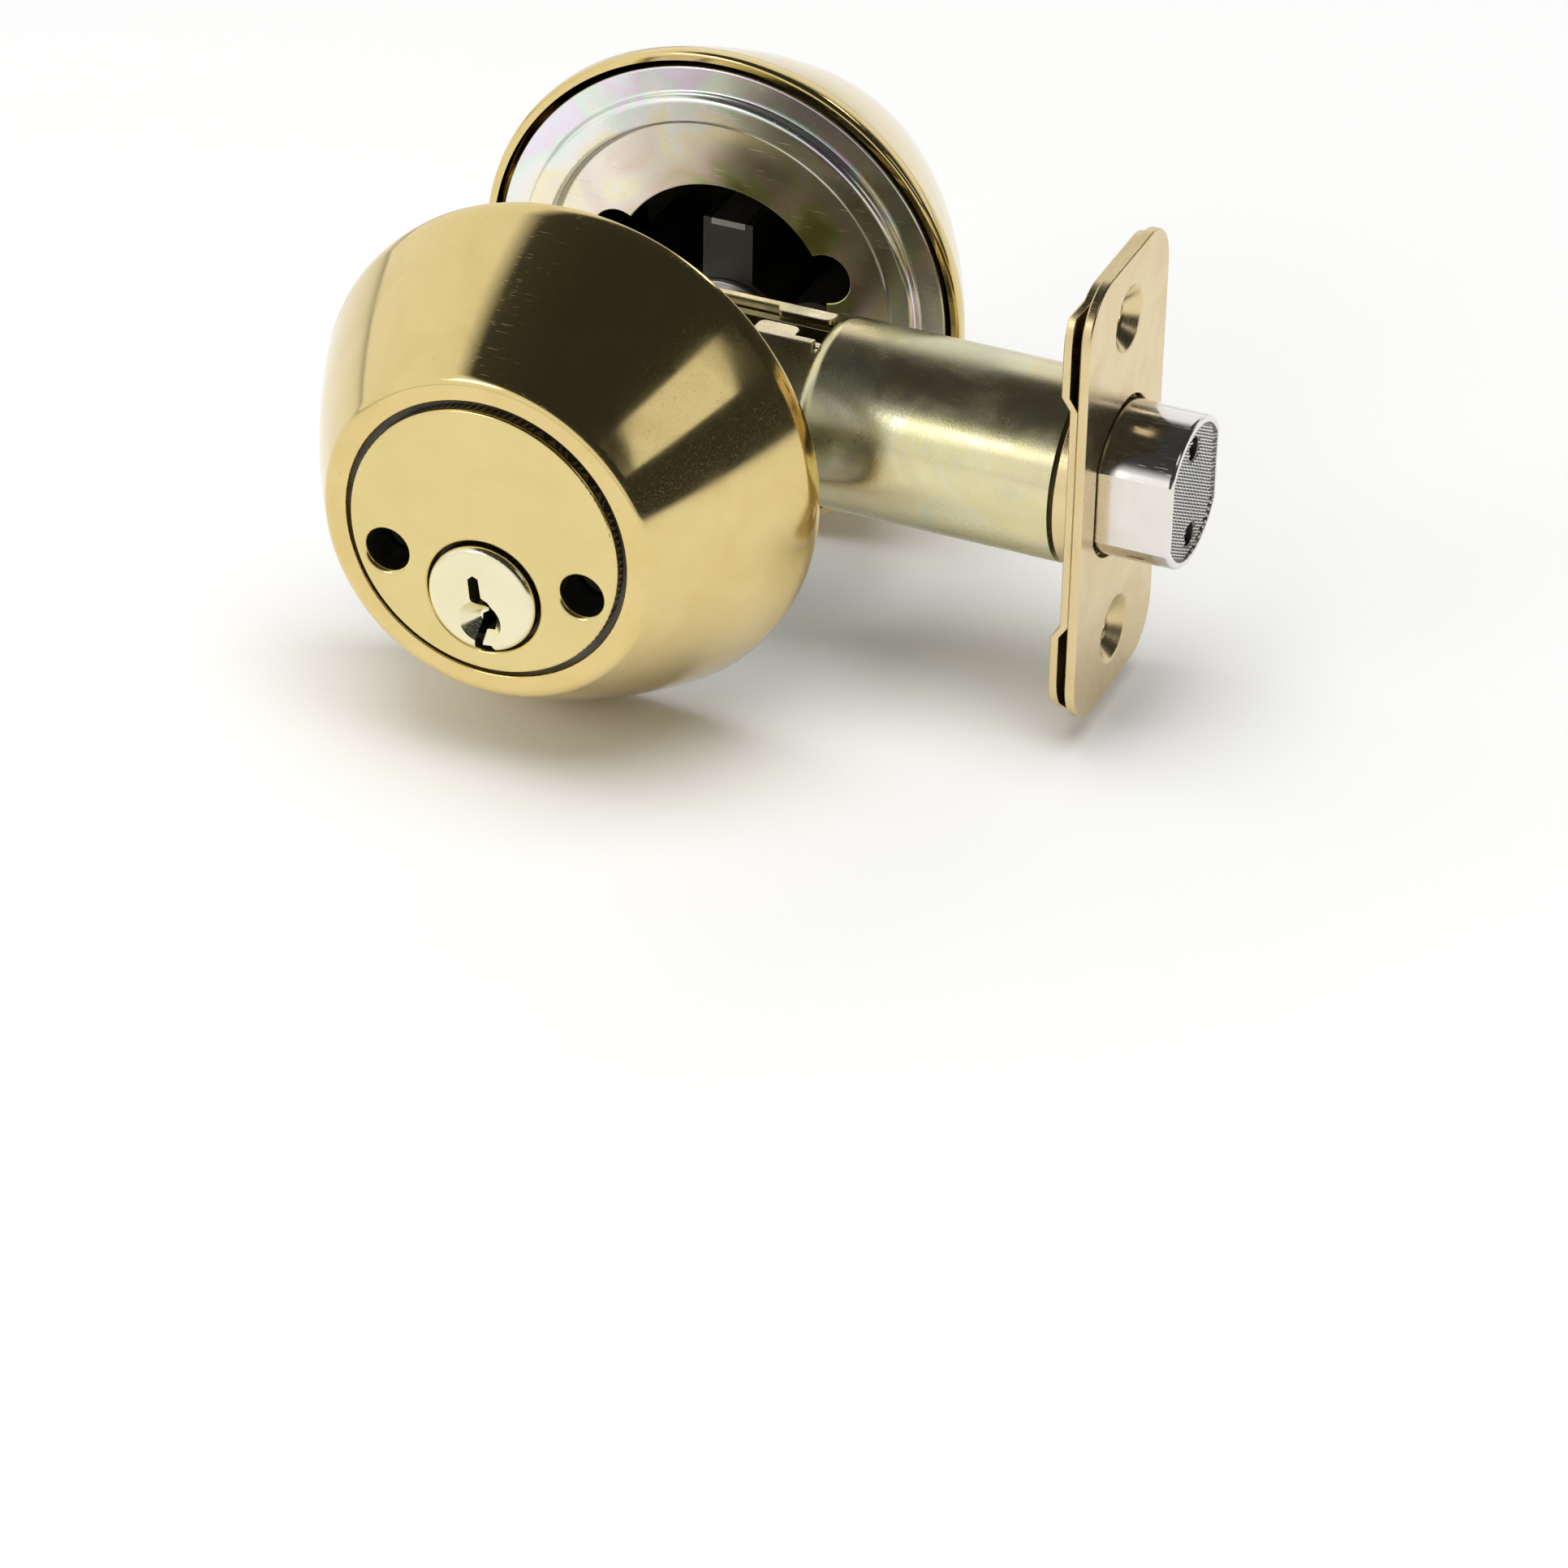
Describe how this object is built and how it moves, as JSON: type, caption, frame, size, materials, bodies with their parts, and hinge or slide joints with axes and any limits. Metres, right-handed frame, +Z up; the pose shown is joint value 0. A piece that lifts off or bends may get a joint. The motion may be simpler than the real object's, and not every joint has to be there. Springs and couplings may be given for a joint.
{
  "type": "deadbolt door lock",
  "caption": "Tubular deadbolt keyed from both sides: two tapered brass collars with cylinders, a tube with a sliding flat-sided bolt, and a rounded faceplate.",
  "frame": {"origin": "centre of the door's cross bore, on the bolt's axis, half way through the door", "axes": "+X along the bolt towards the door's edge, +Y through the door to the exterior, +Z up"},
  "size_m": [0.1008, 0.092, 0.063],
  "materials": {
    "polished_brass": "polished and lacquered",
    "plated_die_cast": "brass plate over zinc die casting",
    "satin_brass": "satin",
    "polished_nickel": "polished nickel plate",
    "plain_steel": "turned and zinc plated",
    "dark_screw_steel": "dark oiled",
    "hardened_steel": "dark hardened",
    "spring_steel": "drawn wire",
    "pin_brass": "turned",
    "yellow_zinc": "yellow zinc plate, satin",
    "iridescent_zinc": "iridescent yellow zinc plate"
  },
  "bodies": {
    "chassis": {"interior_collar": "polished_brass", "interior_housing": "plated_die_cast", "interior_driver_pins": "plain_steel", "interior_pin_springs": "spring_steel", "interior_chamber_cover": "plain_steel", "interior_backing_plate": "iridescent_zinc", "exterior_collar": "polished_brass", "exterior_housing": "plated_die_cast", "exterior_driver_pins": "plain_steel", "exterior_pin_springs": "spring_steel", "exterior_chamber_cover": "plain_steel", "exterior_backing_plate": "iridescent_zinc", "threaded_posts": "plain_steel", "through_bolts": "dark_screw_steel", "bolt_tube": "yellow_zinc", "faceplate": "satin_brass", "face_backplate": "satin_brass", "case_plate_near": "yellow_zinc", "case_plate_far": "yellow_zinc", "case_rivets": "plain_steel", "case_spacers": "plain_steel", "detent_spring": "spring_steel"},
    "bolt_unit": {"bolt": "polished_nickel", "anti_saw_rods": "hardened_steel", "bolt_tail": "yellow_zinc", "tail_rivet": "plain_steel"},
    "cam_unit": {"bolt_cam": "yellow_zinc", "cam_pin": "plain_steel", "interior_tailpiece": "plain_steel", "exterior_tailpiece": "plain_steel"},
    "interior_core": {"interior_plug": "polished_nickel", "interior_plug_cap": "plain_steel", "interior_key_pins": "pin_brass"},
    "exterior_core": {"exterior_plug": "polished_nickel", "exterior_plug_cap": "plain_steel", "exterior_key_pins": "pin_brass"}
  },
  "joints": [
    {"name": "bolt_slide", "type": "slide", "parent": "chassis", "child": "bolt_unit", "axis": [1, 0, 0], "range_m": [-0.009, 0.0164]},
    {"name": "cam_turn", "type": "hinge", "parent": "chassis", "child": "cam_unit", "pos_m": [0, 0, -0.0072], "axis": [0, 1, 0], "range_deg": [-35.45, 64.59]},
    {"name": "interior_plug_turn", "type": "hinge", "parent": "chassis", "child": "interior_core", "pos_m": [0, -0.034, -0.0072], "axis": [0, 1, 0], "range_deg": [-90, 90]},
    {"name": "exterior_plug_turn", "type": "hinge", "parent": "chassis", "child": "exterior_core", "pos_m": [0, 0.034, -0.0072], "axis": [0, 1, 0], "range_deg": [-90, 90]}
  ],
  "couplings": [
    {"joint": "cam_turn", "follows": "bolt_slide", "rad_per_m": 68.714}
  ]
}
